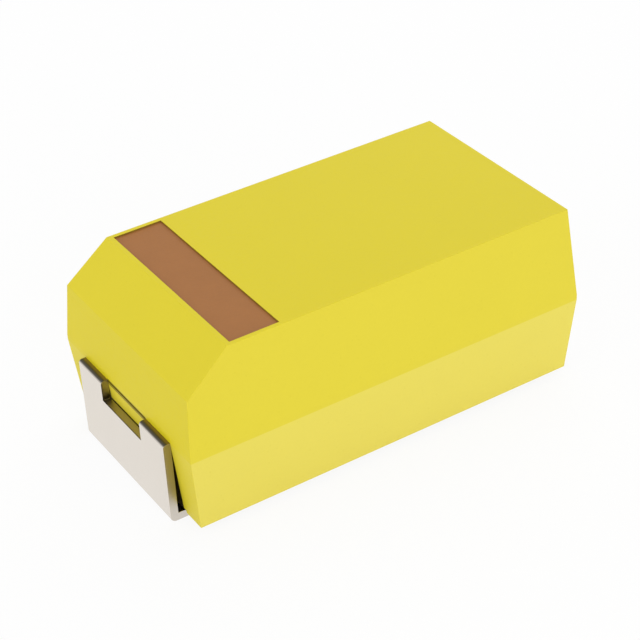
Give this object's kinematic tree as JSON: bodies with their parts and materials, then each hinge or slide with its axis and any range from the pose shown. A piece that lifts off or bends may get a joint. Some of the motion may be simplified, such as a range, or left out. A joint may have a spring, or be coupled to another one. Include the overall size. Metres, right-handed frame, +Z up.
{
  "type": "tantalum capacitor",
  "caption": "Moulded tantalum chip capacitor: drafted epoxy case with a polarity bevel and stripe, and folded metal terminals that turn under it as solder feet.",
  "frame": {"origin": "on the board, below the middle of the case", "axes": "+X along the case from the anode end to the cathode end, +Z up from the board"},
  "size_m": [0.006, 0.0032, 0.0025],
  "materials": {
    "epoxy": "smooth moulded, satin",
    "stripe_ink": "matte",
    "tinned_strip": "tin plated, satin",
    "tantalum_sponge": "sintered, rough",
    "tantalum_wire": "drawn",
    "fluoropolymer": "smooth",
    "manganese_dioxide": "rough",
    "carbon": "matte",
    "silver_paint": "matte",
    "silver_adhesive": "matte"
  },
  "bodies": {
    "root": {"case": "epoxy", "polarity_stripe": "stripe_ink", "anode_leadframe": "tinned_strip", "cathode_leadframe": "tinned_strip", "tantalum_pellet": "tantalum_sponge", "riser_wire": "tantalum_wire", "washer": "fluoropolymer", "manganese_dioxide_coat": "manganese_dioxide", "carbon_coat": "carbon", "silver_coat": "silver_paint", "silver_adhesive": "silver_adhesive"}
  },
  "joints": []
}
